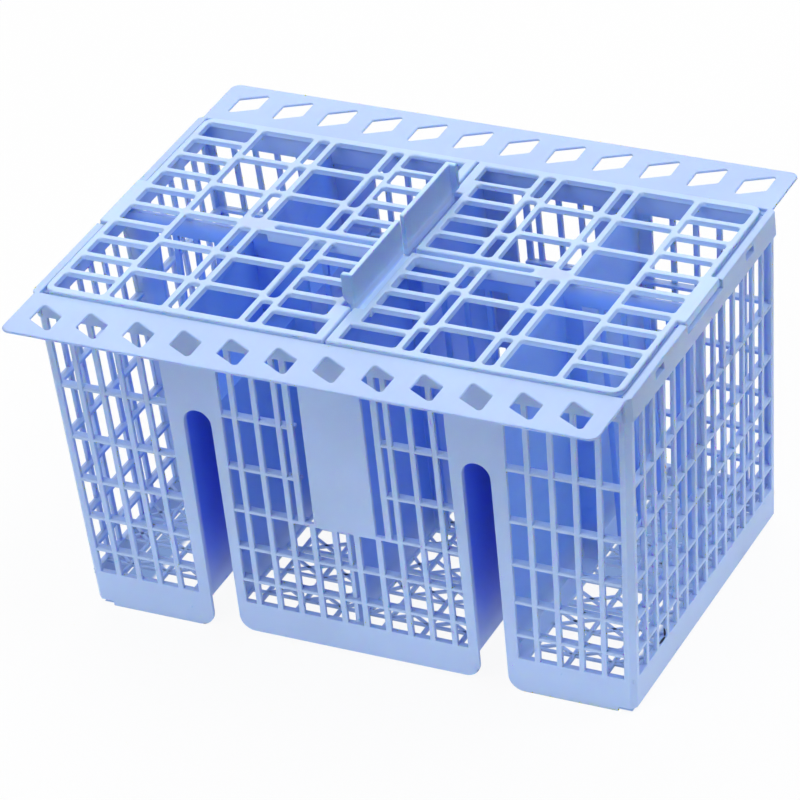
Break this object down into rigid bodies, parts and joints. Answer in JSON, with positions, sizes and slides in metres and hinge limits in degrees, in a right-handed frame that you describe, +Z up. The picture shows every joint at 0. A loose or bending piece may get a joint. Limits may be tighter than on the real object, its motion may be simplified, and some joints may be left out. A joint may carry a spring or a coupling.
{
  "type": "dishwasher cutlery basket",
  "caption": "Blue plastic cutlery basket with grille walls, two flanges with slanted holes, two channels for rack wires and two hinged grid lids that share an upright grip.",
  "frame": {"origin": "centre of the basket's outline at the height of its feet", "axes": "+X along the flanges towards the right lid's hinge, +Y from the front flange to the back flange, +Z up"},
  "size_m": [0.2368, 0.184, 0.1501],
  "materials": {
    "body_plastic": "satin moulded",
    "lid_plastic": "satin moulded"
  },
  "bodies": {
    "basket": {"basket_body": "body_plastic"},
    "left_lid": {"left_lid": "lid_plastic"},
    "right_lid": {"right_lid": "lid_plastic"}
  },
  "joints": [
    {"name": "left_lid_hinge", "type": "hinge", "parent": "basket", "child": "left_lid", "pos_m": [-0.11683, 0, 0.1345], "axis": [0, -1, 0], "range_deg": [0, 95]},
    {"name": "right_lid_hinge", "type": "hinge", "parent": "basket", "child": "right_lid", "pos_m": [0.11683, 0, 0.1345], "axis": [0, 1, 0], "range_deg": [0, 95]}
  ]
}
